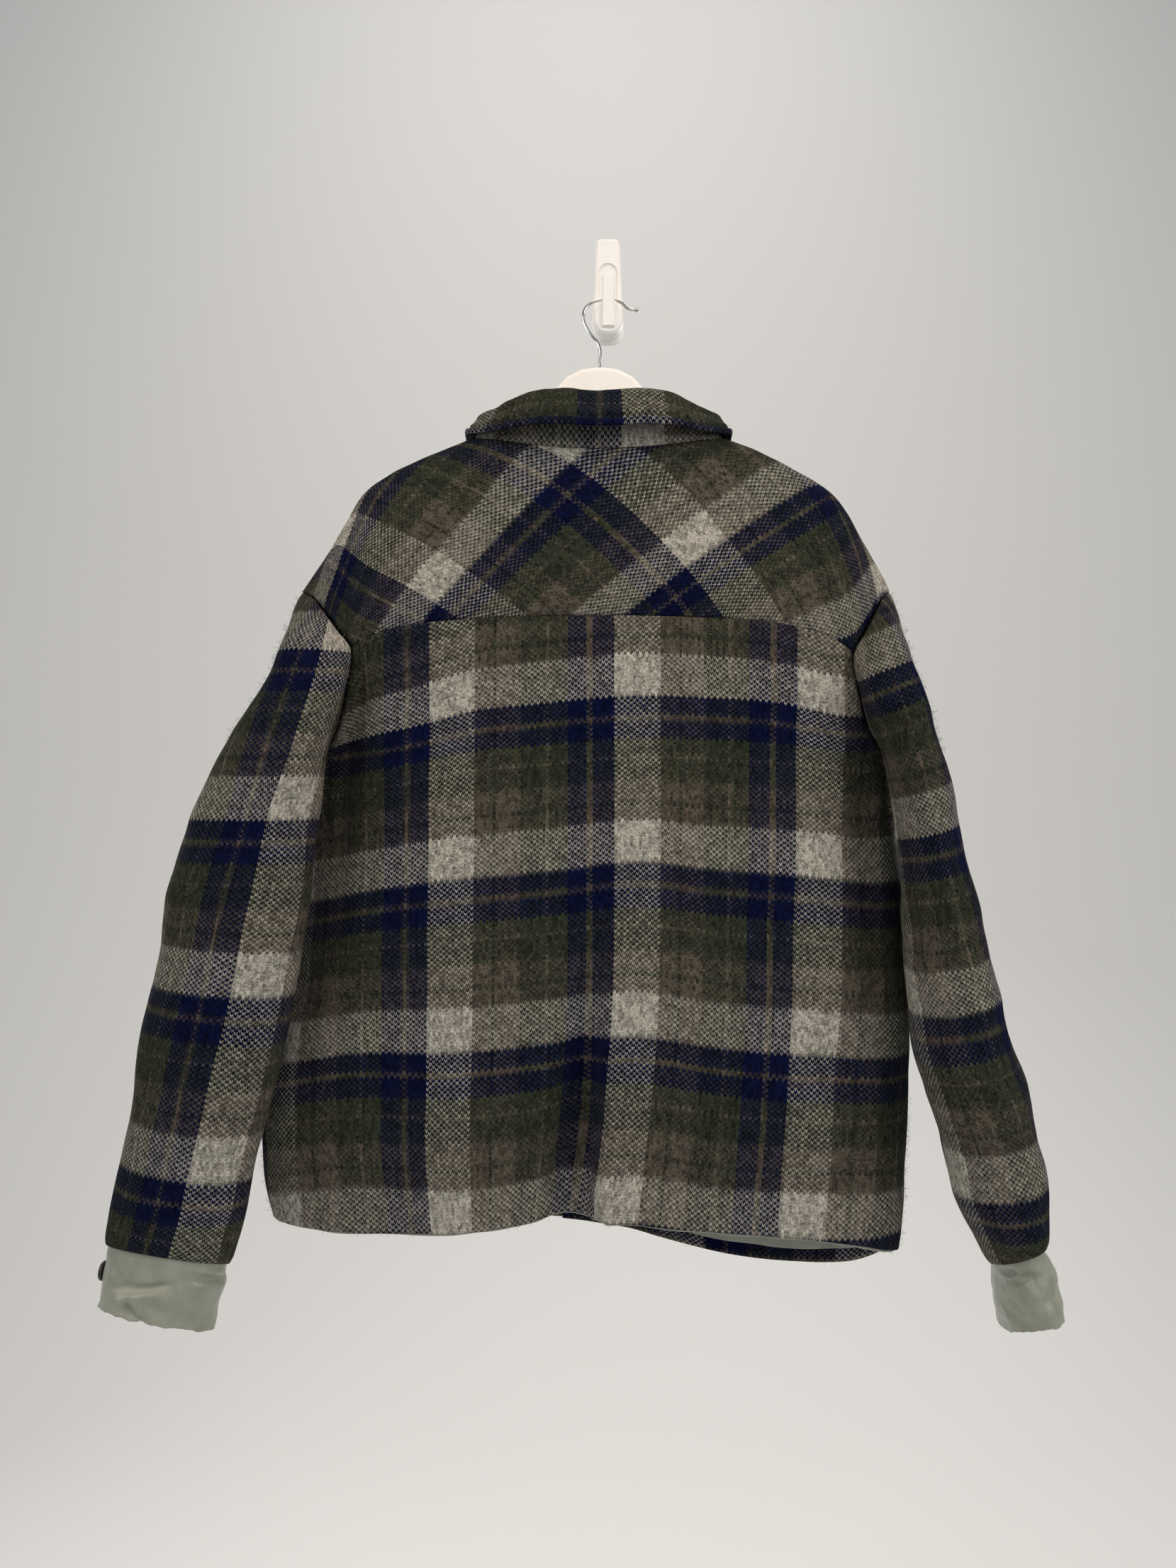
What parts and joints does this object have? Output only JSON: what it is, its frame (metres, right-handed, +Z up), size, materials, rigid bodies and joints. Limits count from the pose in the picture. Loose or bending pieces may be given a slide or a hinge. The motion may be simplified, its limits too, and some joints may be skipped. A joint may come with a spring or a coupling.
{
  "type": "reversible jacket on a hanger and wall hook",
  "caption": "Reversible plaid wool shirt jacket with satin cuffs and fold-over collar, hung by its hanger on a white wall hook.",
  "frame": {"origin": "centre of the wall hook's flat back face, where it meets the wall", "axes": "+Y into the wall, +Z up, +X to the right seen from the room; the jacket's back faces -Y"},
  "size_m": [0.8855, 0.161, 1.0512],
  "materials": {
    "wool": "brushed plaid wool",
    "wool_bias": "brushed plaid wool cut on the bias",
    "wool_collar": "brushed plaid wool",
    "satin": "sage satin",
    "button": "polished black",
    "hanger": "white",
    "wire": "polished",
    "wall_hook": "white"
  },
  "bodies": {
    "root": {"back_panel": "wool", "back_yoke": "wool_bias", "front_left": "wool", "front_right": "wool", "sleeve_left": "wool", "sleeve_right": "wool", "collar_stand": "wool_collar", "collar_fall": "wool_collar", "lining_back": "satin", "lining_front_left": "satin", "lining_front_right": "satin", "cuff_left": "satin", "cuff_right": "satin", "cuff_button_left": "button", "cuff_button_right": "button", "front_button_1": "button", "front_button_2": "button", "front_button_3": "button", "front_button_4": "button", "front_button_5": "button", "front_button_6": "button", "hanger": "hanger", "hanger_hook": "wire", "wall_hook": "wall_hook"}
  },
  "joints": []
}
